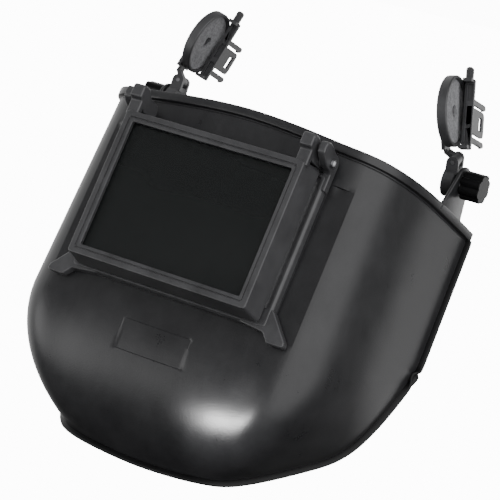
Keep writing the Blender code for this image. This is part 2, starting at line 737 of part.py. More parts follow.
def build_slot_clip(cup, name):
    """The pocketed bar that stands off the cup's mouth, with the tongue and prongs for the hat's slot."""
    bar = box((CLIP_IN, BAR_LOW_Y, -BAR_HALF), (CLIP_OUT, BAR_HIGH_Y, BAR_HALF))
    clip = add_part(f"slot_clip_{name}", bar, "frame_plastic", cup)
    for end in (-1, 1):
        low, high = sorted((end * (BAR_HALF - LEG_THICK), end * (BAR_HALF + 0.4)))
        leg = box((CUP_DEPTH / 2 + GAP, LEG_LOW_Y, low), (CLIP_OUT - 0.6, BAR_HIGH_Y - 0.5, high))
        apply_helper(clip, leg, "UNION")
    web = box((CUP_DEPTH / 2 + GAP, BAR_LOW_Y + 0.9, -BAR_HALF), (CLIP_IN + 0.5, BAR_HIGH_Y - 0.6, BAR_HALF))
    apply_helper(clip, web, "UNION")
    for z in (-POCKET_PITCH, 0.0, POCKET_PITCH):
        low = (CLIP_IN + 0.9, BAR_LOW_Y - 1, z - POCKET_HALF)
        high = (CLIP_OUT - 0.9, BAR_LOW_Y + POCKET_DEPTH, z + POCKET_HALF)
        apply_helper(clip, box(low, high))
    thin_in = CLIP_OUT - 2.0
    thin_out = CLIP_OUT - 0.2
    tongue_start = BAR_HIGH_Y - 1
    half_length = (TONGUE_END - tongue_start) / 2
    middle = ((TONGUE_END + tongue_start) / 2, TONGUE_CENTRE)
    tongue = rounded_rectangle(half_length, TONGUE_HALF, 4.0, 4, middle)
    window = rounded_rectangle(3.3, 5.0, 0.6, 1, (TONGUE_END - 8.5, TONGUE_CENTRE))
    apply_helper(clip, plate([tongue, window], "x", thin_in, thin_out), "UNION")
    for centre in PRONG_CENTRES:
        apply_helper(clip, plate([prong_outline(centre)], "x", thin_in, thin_out), "UNION")
    finger_start = BAR_HALF - 1.5
    half_length = (FINGER_END - finger_start) / 2
    middle = ((CLIP_IN + CLIP_OUT) / 2 - 1.6, (FINGER_END + finger_start) / 2)
    finger = rounded_rectangle(2.7, half_length, 2.2, 4, middle)
    apply_helper(clip, plate([finger], "y", BAR_LOW_Y - 0.7, BAR_HIGH_Y - 0.8), "UNION")
    for x in (middle[0] - 1.7, middle[0] + 0.6):
        rib = box((x, BAR_LOW_Y - 1.3, BAR_HALF + 1.2), (x + 1.1, BAR_LOW_Y + 1, FINGER_END - 2.4))
        apply_helper(clip, rib, "UNION")


def build_adapter(frame, name, side):
    build_pivot_hardware(frame, name, side)
    turn = Matrix.Rotation(ARM_LEAN[name], 4, "X")
    pivot = add_empty(f"arm_pivot_{name}", frame, (side * ARM_X, PIVOT_Y, PIVOT_Z), turn)
    build_lower_arm(pivot, name)
    turn = Matrix.Rotation(YAW[name], 4, "Z") @ Matrix.Rotation(STRAP_TILT[name], 4, "Y")
    tilt = add_empty(f"strap_tilt_{name}", pivot, (0, 0, TILT_HEIGHT), turn)
    build_strap(tilt, name)
    turn = Matrix.Rotation(CUP_TURN[name], 4, "X")
    cup = add_empty(f"cup_axis_{name}", tilt, (0, 0, CUP_HEIGHT), turn)
    build_cup(cup, name)
    build_slot_clip(cup, name)


def build_helmet():
    lean = Matrix.Rotation(-LEAN_BACK, 4, "X")
    centre = lean @ Vector((0, -PIVOT_Y, -PIVOT_Z))
    frame = add_empty("window_frame_origin", None, centre, lean)
    hinge = add_empty("lift_hinge", frame, (0, HINGE_Y, HINGE_Z))
    build_shell(frame)
    build_base(frame)
    build_base_insert(frame)
    build_lift(hinge)
    build_hinge_hardware(frame)
    for name, side in SIDES.items():
        build_adapter(frame, name, side)


build_helmet()
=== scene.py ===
"""Looks of the welding face shield: fine meshes, materials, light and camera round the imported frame.

Sizes are millimetres in the window's own frame, which leans back with the helmet: x across, y back
from the lift frame's front face, z up along the window. WINDOW_TO_ROW takes them to the row frame.
"""

import functools
import json
import math

import bmesh
import bpy
from mathutils import Matrix, Vector


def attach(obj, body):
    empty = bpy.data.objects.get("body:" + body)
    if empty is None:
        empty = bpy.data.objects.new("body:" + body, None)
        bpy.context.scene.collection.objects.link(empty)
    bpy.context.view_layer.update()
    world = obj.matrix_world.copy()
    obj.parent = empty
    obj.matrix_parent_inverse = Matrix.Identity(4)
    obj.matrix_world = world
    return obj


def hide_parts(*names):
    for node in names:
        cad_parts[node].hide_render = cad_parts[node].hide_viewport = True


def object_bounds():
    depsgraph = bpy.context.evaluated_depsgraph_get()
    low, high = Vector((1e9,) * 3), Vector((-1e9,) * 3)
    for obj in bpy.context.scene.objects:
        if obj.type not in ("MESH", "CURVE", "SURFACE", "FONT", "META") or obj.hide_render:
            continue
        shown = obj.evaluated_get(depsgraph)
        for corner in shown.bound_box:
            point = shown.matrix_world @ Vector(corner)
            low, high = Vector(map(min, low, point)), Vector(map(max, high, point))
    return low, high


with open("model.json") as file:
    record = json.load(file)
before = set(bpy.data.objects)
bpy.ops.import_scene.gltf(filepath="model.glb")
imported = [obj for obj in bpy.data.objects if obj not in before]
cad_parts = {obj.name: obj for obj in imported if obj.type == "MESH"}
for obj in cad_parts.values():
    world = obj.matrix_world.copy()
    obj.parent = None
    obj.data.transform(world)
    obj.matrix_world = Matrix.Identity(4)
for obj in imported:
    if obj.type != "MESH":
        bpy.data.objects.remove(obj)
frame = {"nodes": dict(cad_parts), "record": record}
CAD_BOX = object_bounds()

MM = 0.001
SIDES = {"left": 1, "right": -1}

# Helmet attitude and adapter pivots.
LEAN_BACK = math.radians(20.0)
PIVOT_Y = 138.0
PIVOT_Z = 105.0
WINDOW_TO_ROW = (
    Matrix.Rotation(-LEAN_BACK, 4, "X")
    @ Matrix.Translation(Vector((0, -PIVOT_Y, -PIVOT_Z)) * MM)
    @ Matrix.Scale(MM, 4)
)

# Shell: the brim and the rim that its wall joins, from the centre line to the rear flank edge.
BRIM = (
    (0, 33, 88),
    (40, 33.2, 86),
    (76, 35, 82.5),
    (109, 42, 80.5),
    (124, 84, 81.5),
    (129, 136, 82),
    (132, 182, 82),
)
RIM = (
    (0, 82, -170),
    (27, 80, -169),
    (53, 80, -166),
    (74, 89, -158.5),
    (98, 125, -132),
    (120, 153.5, -101.5),
    (133.8, 178.5, -35),
)
BEND_START = (-80, -80, -81, -78, -65, -49, -22)
DRAFT = (0, 0, 0.5, 4.9, 4.6, 2.9, 0.9)
BEND_SWEEP = math.radians(62.0)
SHELL_WALL = 2.4
BAND_HEIGHT = 6.5
# The brim band's section, as (out from the wall, down from the brim), with the groove below it.
BAND_SECTION = (
    (1.9, 0.0),
    (2.5, 0.25),
    (2.8, 0.9),
    (2.8, 5.4),
    (2.5, 6.2),
    (1.7, 6.5),
    (0.2, 6.6),
    (-0.5, 7.0),
    (-0.6, 7.7),
    (0.0, 8.5),
)
# The surface's grid. A place round the shell goes from 0 at the centre line to 1 at the rear edge.
COLUMNS = 96
WALL_ROWS = 40
BEND_ROWS = 42
FIRST_WALL_SHARE = 0.018
TANGENT_STEP = 0.004
PLACE_HALVINGS = 40
# How far round the shell a curve is averaged, and the weights of the nine points taken.
FAIRING = 0.06
FAIR_WEIGHTS = (1, 8, 28, 56, 70, 56, 28, 8, 1)
MIRROR_MERGE = 1e-5
# The lip's section, as (out from the wall, on past its edge), and how it is swept.
LIP_SECTION = (
    (-2.3, -3.2),
    (-2.5, 0.6),
    (-2.1, 1.2),
    (-1.2, 1.5),
    (3.1, 1.5),
    (3.9, 1.2),
    (4.3, 0.4),
    (4.2, -0.6),
    (3.8, -1.2),
    (3.1, -1.4),
    (2.0, -1.2),
    (1.2, -1.3),
    (0.6, -1.8),
    (0.25, -2.8),
    (-0.4, -3.8),
)
LIP_SPACING = 1.5
LIP_SMOOTHING = 3
# The lip starts this many points before the end of the brim band's section.
LIP_OVERLAP = 3

# Flat pads beside the window. PAD_SINK is how far each is turned parallel to the window, from 0 to 1,
# and PAD_CREASE is half the width of its side creases, as a share of the way round the shell.
PAD_IN = 80.0
PAD_OUT = 99.0
PAD_TOP = 52.0
PAD_BOTTOM = -64.0
PAD_EDGE = 0.5
PAD_SINK = 0.85
PAD_CREASE = 0.0014

# Blank label recess below the window.
LABEL_HALF_X = 28.0
LABEL_TOP = -82.0
LABEL_BOTTOM = -104.0
LABEL_DEPTH = 0.45
LABEL_EDGE = 0.6
LABEL_SIDE_GAP = 0.003
LABEL_BEND_GAP = math.radians(0.35)
LABEL_BEND_EDGE = 0.006

# Ears.
EAR_IN = 128.0
EAR_OUT = 130.5
EAR_RADIUS = 12.5
EAR_REACH = 24.0
EAR_SHOULDER = 4
EAR_FOOT_Z = 77
EAR_SHOULDER_Z = 86

# The hole that the window base's sleeve passes through.
WINDOW_CLEARANCE = 0.3
WINDOW_CUT_RADIUS = 2.0
WINDOW_CUT_FRONT = 20
WINDOW_CUT_BACK = 60

# Window base and lift frame.
BASE_FRONT = 25.0
BASE_BACK = 32.6
BASE_HALF_X = 81.0
BASE_TOP = 56.5
BASE_BOTTOM = -60.0
SLEEVE_HALF_X = 61.5
SLEEVE_HALF_Z = 48.5
SLEEVE_BACK = 45.0
SLEEVE_WALL = 2.8
PLATE_SEAT = 31.0
SEAT_HALF_X = 55.5
SEAT_HALF_Z = 42.5
SCREW_POST_RADIUS = 3.9
SCREW_POST_BACK = 39.9
SCREW_PLACES = ((-69.0, -51.5), (69.0, -51.5), (-69.0, 48.0), (69.0, 48.0))
FRAME_HALF_X = 76.0
FRAME_HALF_Z = 58.0
FRAME_DEPTH = 24.5
HINGE_Y = 21.0
HINGE_Z = 63.5
ARM_IN = 64.8
ARM_OUT = 74.4
LUG_IN = 76.6
LUG_OUT = 82.6

# Meshing: corner steps, weld distance, and the angles in degrees above which an edge is bevelled,
# shades sharp, or parts two facets.
CORNER_STEPS = 6
WELD = 1e-6
BEVEL_ANGLE = 32.0
SHARP_ANGLE = 38.0
SHELL_SHARP_ANGLE = 32
ROUNDED_SHARP_ANGLE = 50
POST_BEVEL_ANGLE = 60
FACET_ANGLE = 0.5

# Materials: the range of the plastics' mixed noise, and the gloss of both plates.
TONE_RANGE = (0.55, 1.05)
GLASS_SPECULAR = 0.42

# The camera, about the window's frame.
CAMERA_AZIMUTH = math.radians(27.0)
CAMERA_ELEVATION = math.radians(-9.5)
CAMERA_ROLL = math.radians(22.5)
CAMERA_LENS_MM = 150.0
CAMERA_SENSOR_MM = 36.0
CAMERA_DISTANCE = 1.4368
AIM_RIGHT = 0.0455
AIM_UP = -0.0303

# The studio: the floor, and the pale level that the camera sees.
FLOOR_DROP = 0.30
FLOOR_RADIUS = 40.0
PALE = 12.0
BACKDROP_DIRECTION = (0.10, 0.995, 0.0)
# The world's level from in front (0) to behind (1), and the strength it is multiplied by.
WORLD_LEVELS = (
    (0.0, 0.16),
    (0.12, 0.15),
    (0.3, 0.12),
    (0.65, 0.09),
    (0.945, 0.08),
    (0.972, 0.62),
    (1.0, 1.1),
)
WORLD_STRENGTH = 1.8
# Soft windows: each one's direction, the cosines at its edge and at its middle, and its level.
WINDOWS = (
    ((0.78, -0.55, 0.30), 0.36, 0.76, 1.1),
    ((-0.70, -0.70, -0.12), 0.92, 0.985, 1.7),
    ((-0.95, 0.25, 0.20), 0.45, 0.95, 0.75),
)
# Below, the world dims to this share, between these two heights of direction.
UNDER_SHARE = 0.12
UNDER_FROM = -0.86
UNDER_TO = -0.30
LAMP_SPREAD = math.radians(22.0)
# Each lamp's name, place, target, size in metres and power in watts.
LIGHTS = (
    ("key", (0.004, -0.352, -0.272), (0.07, -0.16, -0.184), 0.024, 0.014),
)


# ---------------------------------------------------------------- materials


def set_range(node, from_low, from_high, low, high):
    """Sets a Map Range node's four limits."""
    for socket, value in zip(node.inputs[1:5], (from_low, from_high, low, high)):
        socket.default_value = value


def set_stops(ramp, stops):
    """Gives a colour ramp its stops, each a position and a colour."""
    while len(ramp.elements) < len(stops):
        ramp.elements.new(0.5)
    for element, (position, colour) in zip(ramp.elements, stops):
        element.position = position
        element.color = (*colour, 1.0)


class Shading:
    """A procedural material, with its nodes added one call at a time."""

    def __init__(self, name):
        self.material = bpy.data.materials.new(name)
        self.material.use_nodes = True
        self.tree = self.material.node_tree
        self.shader = self.tree.nodes["Principled BSDF"]
        self.place = self.add("ShaderNodeTexCoord").outputs["Object"]

    def add(self, kind, **settings):
        node = self.tree.nodes.new(kind)
        for key, value in settings.items():
            setattr(node, key, value)
        return node

    def link(self, source, target):
        self.tree.links.new(source, target)

    def noise(self, scale, detail=3.0, roughness=0.55, stretch=(1, 1, 1)):
        mapping = self.add("ShaderNodeMapping")
        mapping.inputs["Scale"].default_value = stretch
        self.link(self.place, mapping.inputs["Vector"])
        node = self.add("ShaderNodeTexNoise")
        node.inputs["Scale"].default_value = scale
        node.inputs["Detail"].default_value = detail
        node.inputs["Roughness"].default_value = roughness
        self.link(mapping.outputs["Vector"], node.inputs["Vector"])
        return node.outputs["Fac"]

    def cells(self, scale):
        node = self.add("ShaderNodeTexVoronoi")
        node.inputs["Scale"].default_value = scale
        self.link(self.place, node.inputs["Vector"])
        return node.outputs["Distance"]

    def ramp(self, source, stops):
        node = self.add("ShaderNodeValToRGB")
        set_stops(node.color_ramp, stops)
        self.link(source, node.inputs["Fac"])
        return node.outputs["Color"]

    def spread(self, source, low, high, from_low=0.3, from_high=0.7):
        node = self.add("ShaderNodeMapRange")
        set_range(node, from_low, from_high, low, high)
        self.link(source, node.inputs["Value"])
        return node.outputs["Result"]

    def add_values(self, first, second, weight):
        node = self.add("ShaderNodeMath", operation="MULTIPLY_ADD")
        node.inputs[1].default_value = weight
        self.link(second, node.inputs[0])
        self.link(first, node.inputs[2])
        return node.outputs["Value"]

    def bump(self, height, strength, distance):
        node = self.add("ShaderNodeBump")
        node.inputs["Strength"].default_value = strength
        node.inputs["Distance"].default_value = distance
        self.link(height, node.inputs["Height"])
        self.link(node.outputs["Normal"], self.shader.inputs["Normal"])

    def colour(self, source):
        self.link(source, self.shader.inputs["Base Color"])

    def roughness(self, source):
        self.link(source, self.shader.inputs["Roughness"])

    def value(self, socket, number):
        self.shader.inputs[socket].default_value = number


def moulded_plastic(name, dark, light, rough, grain, relief, specular):
    """Satin moulding: cloudy tone over centimetres, and a fine stippled grain."""
    shading = Shading(name)
    clouds = shading.noise(38.0, 4.0, 0.6)
    flow = shading.noise(150.0, 3.0, 0.6, (1.0, 1.0, 0.35))
    stipple = shading.noise(grain, 2.0, 0.7)
    tone = shading.add_values(clouds, flow, 0.35)
    tone = shading.add_values(tone, stipple, 0.25)
    level = shading.spread(tone, 0.0, 1.0, *TONE_RANGE)
    shading.colour(shading.ramp(level, ((0.0, dark), (1.0, light))))
    shading.roughness(shading.spread(tone, rough - 0.03, rough + 0.035, *TONE_RANGE))
    shading.bump(stipple, relief, 0.0002)
    shading.value("Specular IOR Level", specular)
    return shading.material


def shade_glass():
    """Near-black filter glass, with faint wiping marks."""
    shading = Shading("shade_glass")
    wipes = shading.noise(14.0, 2.0, 0.5, (0.5, 1.0, 1.4))
    stops = ((0.3, (0.006, 0.0075, 0.0075)), (0.75, (0.011, 0.0125, 0.0125)))
    shading.colour(shading.ramp(wipes, stops))
    shading.roughness(shading.spread(wipes, 0.26, 0.30))
    shading.value("Specular IOR Level", GLASS_SPECULAR)
    return shading.material


def clear_plate():
    """Clear safety plate: mostly see-through, and drawn without refraction."""
    shading = Shading("clear_plate")
    shading.value("Base Color", (0.020, 0.022, 0.022, 1.0))
    shading.value("Roughness", 0.25)
    shading.value("Specular IOR Level", GLASS_SPECULAR)
    shading.value("Alpha", 0.2)
    return shading.material


def gasket_rubber():
    shading = Shading("gasket_rubber")
    fine = shading.noise(700.0, 2.0)
    stops = ((0.3, (0.010, 0.010, 0.010)), (0.7, (0.022, 0.022, 0.021)))
    shading.colour(shading.ramp(fine, stops))
    shading.roughness(shading.spread(fine, 0.72, 0.9))
    shading.bump(fine, 0.25, 0.0002)
    return shading.material


def worn_metal(name, dark, light, rough):
    """Plain metal with a fine drawn grain and light tarnish."""
    shading = Shading(name)
    drawn = shading.noise(420.0, 3.0, 0.6, (0.15, 1.0, 1.0))
    tarnish = shading.noise(90.0, 4.0, 0.6)
    shading.colour(shading.ramp(tarnish, ((0.3, dark), (0.7, light))))
    shading.roughness(shading.spread(drawn, rough - 0.08, rough + 0.1))
    shading.bump(drawn, 0.15, 0.0001)
    shading.value("Metallic", 1.0)
    return shading.material


def friction_fibre():
    """Pressed grey fibre, mottled with darker and lighter flecks."""
    shading = Shading("insert_fibre")
    flecks = shading.cells(650.0)
    clouds = shading.noise(260.0, 4.0, 0.7)
    tone = shading.add_values(clouds, flecks, 0.5)
    stops = ((0.0, (0.10, 0.102, 0.108)), (0.5, (0.15, 0.15, 0.157)), (1.0, (0.22, 0.22, 0.228)))
    shading.colour(shading.ramp(shading.spread(tone, 0.0, 1.0, 0.45, 0.9), stops))
    shading.roughness(shading.spread(clouds, 0.7, 0.9))
    shading.bump(tone, 0.5, 0.0003)
    return shading.material


MATERIALS = {
    "shell_plastic": moulded_plastic(
        "shell_plastic",
        dark=(0.0145, 0.0145, 0.0158),
        light=(0.024, 0.024, 0.0255),
        rough=0.30,
        grain=1000.0,
        relief=0.40,
        specular=0.42,
    ),
    # The lip is the shell's own plastic, painted much darker and duller: painted shade on the flange
    # that faces away from the light.
    "lip_painted_shade_plastic": moulded_plastic(
        "lip_painted_shade_plastic",
        dark=(0.003, 0.003, 0.0033),
        light=(0.006, 0.006, 0.0065),
        rough=0.42,
        grain=1500.0,
        relief=0.18,
        specular=0.22,
    ),
    "frame_plastic": moulded_plastic(
        "frame_plastic",
        dark=(0.026, 0.026, 0.0275),
        light=(0.050, 0.050, 0.053),
        rough=0.36,
        grain=2200.0,
        relief=0.15,
        specular=0.50,
    ),
    "knob_plastic": moulded_plastic(
        "knob_plastic",
        dark=(0.0035, 0.0035, 0.0038),
        light=(0.007, 0.007, 0.0074),
        rough=0.24,
        grain=2600.0,
        relief=0.05,
        specular=0.12,
    ),
    "shade_glass": shade_glass(),
    "clear_plate": clear_plate(),
    "gasket_rubber": gasket_rubber(),
    "spring_steel": worn_metal("spring_steel", (0.20, 0.20, 0.21), (0.34, 0.34, 0.35), 0.38),
    "brass": worn_metal("brass", (0.46, 0.31, 0.12), (0.64, 0.47, 0.20), 0.32),
    "insert_fibre": friction_fibre(),
}


# ---------------------------------------------------------------- mesh tools


def to_mesh(shape):
    """The bmesh, in millimetres in the window's frame, as a mesh in the row frame."""
    bmesh.ops.recalc_face_normals(shape, faces=shape.faces)
    bmesh.ops.transform(shape, matrix=WINDOW_TO_ROW, verts=shape.verts)
    mesh = bpy.data.meshes.new("mesh")
    shape.to_mesh(mesh)
    shape.free()
    return mesh


def bevel(piece, width, segments=3, angle=BEVEL_ANGLE):
    modifier = piece.modifiers.new("Bevel", "BEVEL")
    modifier.width = width * MM
    modifier.segments = segments
    modifier.limit_method = "ANGLE"
    modifier.angle_limit = math.radians(angle)
    modifier.use_clamp_overlap = True
    modifier.miter_outer = "MITER_ARC"


def apply_modifiers(piece):
    """Replaces the piece's mesh with the one its modifiers make."""
    evaluated = piece.evaluated_get(bpy.context.evaluated_depsgraph_get())
    mesh = bpy.data.meshes.new_from_object(evaluated)
    piece.modifiers.clear()
    piece.data = mesh
    return mesh


def settle(piece, sharp=SHARP_ANGLE):
    """Applies the piece's modifiers and sets its shading."""
    mesh = apply_modifiers(piece)
    mesh.shade_smooth()
    mesh.set_sharp_from_angle(angle=math.radians(sharp))
    return piece


def level_faces(piece):
    """Shades the flat faces level, so that only the rounded edges between them catch the light."""
    modifier = piece.modifiers.new("Normals", "WEIGHTED_NORMAL")
    modifier.keep_sharp = True
    apply_modifiers(piece)


def new_piece(name, mesh, material):
    mesh.name = name
    mesh.materials.clear()
    mesh.materials.append(MATERIALS[material])
    piece = bpy.data.objects.new(name, mesh)
    bpy.context.scene.collection.objects.link(piece)
    return piece


def mount(piece, body, slot, *nodes):
    """Rides the piece on its body, in place of the CAD nodes it stands for."""
    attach(piece, body)
    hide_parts(*nodes)


def join(name, material, pieces):
    """One piece from several closed ones."""
    shape = bmesh.new()
    for piece in pieces:
        shape.from_mesh(piece.data)
        bpy.data.objects.remove(piece)
    mesh = bpy.data.meshes.new(name)
    shape.to_mesh(mesh)
    shape.free()
    return new_piece(name, mesh, material)


def arc(centre, radius, first, last, steps):
    angles = [math.radians(first + (last - first) * i / steps) for i in range(steps + 1)]
    return [(centre[0] + radius * math.cos(a), centre[1] + radius * math.sin(a)) for a in angles]


def rounded_rectangle(half_u, half_v, radius, centre=(0, 0)):
    points = []
    for quarter, (su, sv) in enumerate(((1, 1), (-1, 1), (-1, -1), (1, -1))):
        corner = (centre[0] + su * (half_u - radius), centre[1] + sv * (half_v - radius))
        points += arc(corner, radius, 90 * quarter, 90 * quarter + 90, CORNER_STEPS)
    return points


def ring_body(sections):
    """A closed ring through rounded rectangles, each (half x, half z, centre z, corner radius, y)."""
    shape = bmesh.new()
    rings = []
    for half_x, half_z, centre_z, radius, y in sections:
        outline = rounded_rectangle(half_x, half_z, radius, (0, centre_z))
        rings.append([shape.verts.new((u, y, v)) for u, v in outline])
    for first, second in zip(rings, rings[1:] + rings[:1]):
        for i in range(len(first)):
            j = (i + 1) % len(first)
            shape.faces.new((first[i], first[j], second[j], second[i]))
    return to_mesh(shape)


def slab(outline, normal, low, high):
    """A flat plate from its outline in the (y, z) or (x, z) plane, low to high along its normal."""
    shape = bmesh.new()
    ends = []
    for level in (low, high):
        if normal == "x":
            ends.append([shape.verts.new((level, u, v)) for u, v in outline])
        else:
            ends.append([shape.verts.new((u, level, v)) for u, v in outline])
    for end in ends:
        shape.faces.new(end)
    for i in range(len(outline)):
        j = (i + 1) % len(outline)
        shape.faces.new((ends[0][i], ends[0][j], ends[1][j], ends[1][i]))
    return to_mesh(shape)


def refined(node, body, width):
    """A finer copy of a CAD node: its facets merged into flats, and its edges rounded."""
    cad = frame["nodes"][node]
    shape = bmesh.new()
    shape.from_mesh(cad.data)
    bmesh.ops.remove_doubles(shape, verts=shape.verts, dist=WELD)
    limit = math.radians(FACET_ANGLE)
    bmesh.ops.dissolve_limit(shape, angle_limit=limit, verts=shape.verts, edges=shape.edges)
    mesh = bpy.data.meshes.new(node)
    shape.to_mesh(mesh)
    shape.free()
    subparts = frame["record"]["subparts"]
    slot = next(part["material_slot"] for part in subparts if part["node"] == node)
    piece = new_piece(node + "_fine", mesh, slot)
    bevel(piece, width)
    settle(piece)
    level_faces(piece)
    mount(piece, body, slot, node)


# ---------------------------------------------------------------- shell


def spline_point(stations, along):
    """A point on the smooth curve through the stations, with along from 0 to 1.

    The first station lies on the centre line, so the curve crosses it squarely.
    """
    last = len(stations) - 1
    index = min(int(along * last), last - 1)
    t = along * last - index

    def station(i):
        if i < 0:
            mirrored = Vector(stations[-i])
            mirrored.x = -mirrored.x
            return mirrored
        if i > last:
            return 2 * Vector(stations[last]) - Vector(stations[last - 1])
        return Vector(stations[i])

    p0, p1, p2, p3 = (station(index + k) for k in (-1, 0, 1, 2))
    first = (p2 - p0) / 2
    second = (p3 - p1) / 2
    return (
        (2 * t**3 - 3 * t**2 + 1) * p1
        + (t**3 - 2 * t**2 + t) * first
        + (3 * t**2 - 2 * t**3) * p2
        + (t**3 - t**2) * second
    )


@functools.cache
def fair_point(stations, along):
    """The curve's point averaged over its neighbours, so that its curvature changes slowly.

    Near the rear edge the neighbours draw in, so the curve still ends at its last station.
    """
    reach = min(FAIRING, (1 - along) / 2)
    total = Vector((0, 0, 0))
    for step, weight in enumerate(FAIR_WEIGHTS, -(len(FAIR_WEIGHTS) // 2)):
        place = along + reach * step / 2
        point = spline_point(stations, abs(place))
        if place < 0:
            point.x = -point.x
        total += point * weight
    return (total / sum(FAIR_WEIGHTS)).freeze()


def between(values, along):
    """The value at one place round the shell, from a list of evenly spread ones."""
    return fair_point(tuple((0, 0, value) for value in values), along).z


def outward(along):
    """The level direction out of the shell's wall."""
    ahead = fair_point(BRIM, min(along + TANGENT_STEP, 1.0))
    behind = fair_point(BRIM, max(along - TANGENT_STEP, 0.0))
    tangent = ahead - behind
    return Vector((tangent.y, -tangent.x, 0)).normalized()


@functools.cache
def ends_of_wall(along):
    """The top and the foot of the upright wall at one place round the shell."""
    brim = fair_point(BRIM, along)
    top = Vector((brim.x, brim.y, brim.z - BAND_HEIGHT))
    foot = Vector((brim.x, brim.y, between(BEND_START, along))) + outward(along) * between(DRAFT, along)
    return top.freeze(), foot.freeze()


@functools.cache
def place_across(x):
    """Where round the shell the brim reaches that far across."""
    low, high = 0.0, 1.0
    for _ in range(PLACE_HALVINGS):
        middle = (low + high) / 2
        if fair_point(BRIM, middle).x < x:
            low = middle
        else:
            high = middle
    return low


def with_edges(places, edges, gap):
    """The places, with a pair of close lines at each edge and none too near them."""
    kept = [place for place in places if all(abs(place - edge) > 1.5 * gap for edge in edges)]
    for edge in edges:
        kept += [edge - gap / 2, edge + gap / 2]
    return sorted(kept)


def step_up(value, edge, gap):
    """0 below the edge and 1 above it, rising over the gap."""
    share = min(max((value - edge) / gap + 0.5, 0.0), 1.0)
    return share * share * (3 - 2 * share)


def shell_lines():
    """The places round the shell, the shares down its wall and the angles round its bend."""
    columns = [i / COLUMNS for i in range(1, COLUMNS)]
    label_side = place_across(LABEL_HALF_X)
    columns = with_edges(columns, [label_side], LABEL_SIDE_GAP)
    for x in (PAD_IN, PAD_OUT):
        pad_side = place_across(x)
        columns = [place for place in columns if abs(place - pad_side) > 2 * PAD_CREASE]
        columns += [pad_side - PAD_CREASE, pad_side, pad_side + PAD_CREASE]
    top, foot = ends_of_wall(place_across((PAD_IN + PAD_OUT) / 2))
    height = top.z - foot.z
    shares = [i / WALL_ROWS for i in range(1, WALL_ROWS + 1)]
    edges = [(top.z - PAD_TOP) / height, (top.z - PAD_BOTTOM) / height]
    shares = [FIRST_WALL_SHARE] + with_edges(shares, edges, PAD_EDGE / height)
    angles = [BEND_SWEEP * i / BEND_ROWS for i in range(1, BEND_ROWS + 1)]
    label_angles = [label_angle(LABEL_TOP), label_angle(LABEL_BOTTOM)]
    angles = with_edges(angles, label_angles, LABEL_BEND_GAP)
    return sorted([0.0, *columns, 1.0]), shares, angles


def label_angle(z):
    """The angle round the bend at a height on the centre line."""
    depth = (BEND_START[0] - z) / (BEND_START[0] - RIM[0][2])
    return math.asin(depth * math.sin(BEND_SWEEP))


def wall_point(along, share):
    """A point on the upright wall, drawn in to the flat pad beside the window."""
    top, foot = ends_of_wall(along)
    point = top.lerp(foot, share)
    inner, outer = place_across(PAD_IN), place_across(PAD_OUT)
    if not inner < along < outer:
        return point
    near = ends_of_wall(inner)
    far = ends_of_wall(outer)
    start = near[0].lerp(near[1], share)
    end = far[0].lerp(far[1], share)
    flat = start.lerp(end, (point.x - start.x) / (end.x - start.x))
    flat.y += (end.y - flat.y) * PAD_SINK
    down = -point.z
    inside = step_up(down, -PAD_TOP, PAD_EDGE) * (1 - step_up(down, -PAD_BOTTOM, PAD_EDGE))
    return point.lerp(Vector((flat.x, flat.y, point.z)), inside)


def bend_point(along, angle):
    """A point on the chin's bend, pressed in inside the label recess."""
    _, foot = ends_of_wall(along)
    rim = fair_point(RIM, along)
    inwards = (1 - math.cos(angle)) / (1 - math.cos(BEND_SWEEP))
    downwards = math.sin(angle) / math.sin(BEND_SWEEP)
    point = foot + (rim - foot) * Vector((inwards, inwards, downwards))
    beside = 1 - step_up(point.x, LABEL_HALF_X, LABEL_EDGE)
    below_top = step_up(angle, label_angle(LABEL_TOP), LABEL_BEND_EDGE)
    above_bottom = 1 - step_up(angle, label_angle(LABEL_BOTTOM), LABEL_BEND_EDGE)
    below = below_top * above_bottom
    point.y += LABEL_DEPTH * beside * below
    return point


def shell_surface():
    """The +X half of the shell's outer surface, and the rear and lower edge that the lip follows."""
    columns, shares, angles = shell_lines()
    shape = bmesh.new()
    verts = []
    for along in columns:
        brim = fair_point(BRIM, along)
        out = outward(along)
        points = [brim + out * reach - Vector((0, 0, down)) for reach, down in BAND_SECTION]
        points += [wall_point(along, share) for share in shares]
        points += [bend_point(along, angle) for angle in angles]
        verts.append([shape.verts.new(point) for point in points])
    for i in range(len(verts) - 1):
        for j in range(len(verts[0]) - 1):
            shape.faces.new((verts[i][j], verts[i][j + 1], verts[i + 1][j + 1], verts[i + 1][j]))
    shape.normal_update()
    edge = verts[-1][len(BAND_SECTION) - LIP_OVERLAP :]
    edge += [column[-1] for column in reversed(verts[:-1])]
    return shape, edge


def even_path(points, normals, spacing):
    """The path with its points spread evenly, and its outward directions smoothed along it."""
    lengths = [0.0]
    for first, second in zip(points, points[1:]):
        lengths.append(lengths[-1] + (second - first).length)
    count = round(lengths[-1] / spacing)
    places, outs = [], []
    index = 0
    for step in range(count + 1):
        along = lengths[-1] * step / count
        while index < len(points) - 2 and lengths[index + 1] < along:
            index += 1
        share = (along - lengths[index]) / (lengths[index + 1] - lengths[index])
        places.append(points[index].lerp(points[index + 1], share))
        outs.append(normals[index].lerp(normals[index + 1], share).normalized())
    for _ in range(LIP_SMOOTHING):
        for values in (places, outs):
            middles = [(a + 2 * b + c) / 4 for a, b, c in zip(values, values[1:], values[2:])]
            values[1:-1] = middles
    return places, outs


